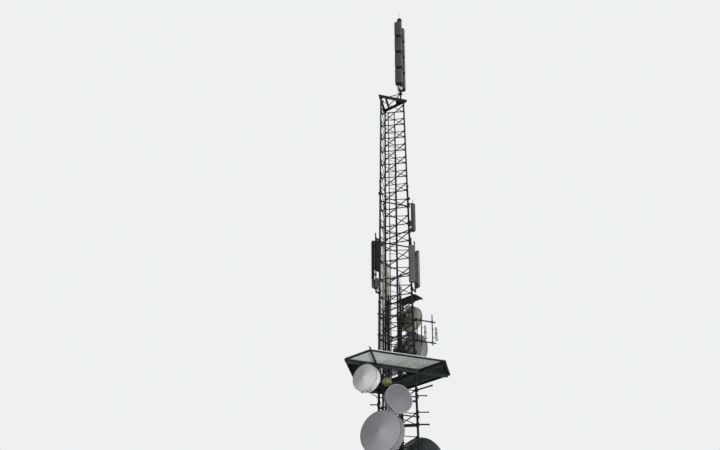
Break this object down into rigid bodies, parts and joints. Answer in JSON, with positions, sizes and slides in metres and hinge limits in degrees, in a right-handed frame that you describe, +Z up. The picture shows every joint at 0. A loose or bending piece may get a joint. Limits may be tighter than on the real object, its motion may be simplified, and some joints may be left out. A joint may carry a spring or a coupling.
{
  "type": "lattice telecommunications tower",
  "caption": "Three-legged steel lattice tower with an inner ladder, antenna pole, sector panels, dishes and a grating platform.",
  "frame": {"origin": "centre of the underside of the front left leg's foot plate", "axes": "+Z up; +X along the front face from the front left leg to the front right leg; +Y from the front face towards the rear leg"},
  "size_m": [4.7998, 4.5314, 39.4],
  "materials": {
    "dark_steel": "weathered dark green grey paint on galvanised steel",
    "bracket_steel": "weathered galvanised steel gone dark",
    "ladder_steel": "weathered dark steel",
    "grating_steel": "galvanised bar grating",
    "panel_dark": "weathered grey radome",
    "panel_grey": "weathered light grey radome",
    "panel_black": "dark radome",
    "radio_grey": "powder coated housing",
    "cable_grey": "faded cable jacket",
    "cable_black": "black cable jacket",
    "beacon_cover": "weathered lens over a grey base",
    "dish_white": "white painted drum with a fabric radome",
    "dish_olive": "olive painted radome with a grey rim"
  },
  "bodies": {
    "root": {"antenna_pole": "dark_steel", "base_plates": "dark_steel", "beacon_light": "beacon_cover", "bracing_front_1": "dark_steel", "bracing_front_2": "dark_steel", "bracing_front_3": "dark_steel", "bracing_front_4": "dark_steel", "bracing_left_1": "dark_steel", "bracing_left_2": "dark_steel", "bracing_left_3": "dark_steel", "bracing_left_4": "dark_steel", "bracing_right_1": "dark_steel", "bracing_right_2": "dark_steel", "bracing_right_3": "dark_steel", "bracing_right_4": "dark_steel", "broadcast_brackets": "bracket_steel", "broadcast_panels_front": "panel_dark", "broadcast_panels_rear": "panel_dark", "cable_bundle": "cable_black", "climbing_ladder": "ladder_steel", "corner_plate": "dark_steel", "dish_large": "dish_white", "dish_left": "dish_white", "dish_lower_right": "dish_white", "dish_middle": "dish_white", "dish_rear_right": "dish_white", "dish_small": "dish_olive", "dish_upper_right": "dish_white", "face_dish_mounts": "bracket_steel", "feeder_cables_left": "cable_grey", "feeder_cables_right": "cable_black", "head_frame": "dark_steel", "leg_clamps": "bracket_steel", "leg_dish_mounts": "bracket_steel", "leg_front_left": "dark_steel", "leg_front_right": "dark_steel", "leg_rear": "dark_steel", "lightning_rod": "bracket_steel", "mounting_bars": "dark_steel", "platform_beams": "dark_steel", "platform_deck_front": "grating_steel", "platform_deck_left": "grating_steel", "platform_deck_right": "grating_steel", "platform_frame": "dark_steel", "pole_struts": "dark_steel", "radio_units": "radio_grey", "sector_panels_left": "panel_black", "sector_panels_right": "panel_grey", "sector_pipes_left": "bracket_steel", "sector_pipes_right": "bracket_steel", "side_arms": "dark_steel", "side_dipoles": "bracket_steel", "stub_arms": "dark_steel", "upper_antenna": "panel_dark", "upper_antenna_arms": "bracket_steel", "upper_ice_guard": "grating_steel"}
  },
  "joints": []
}
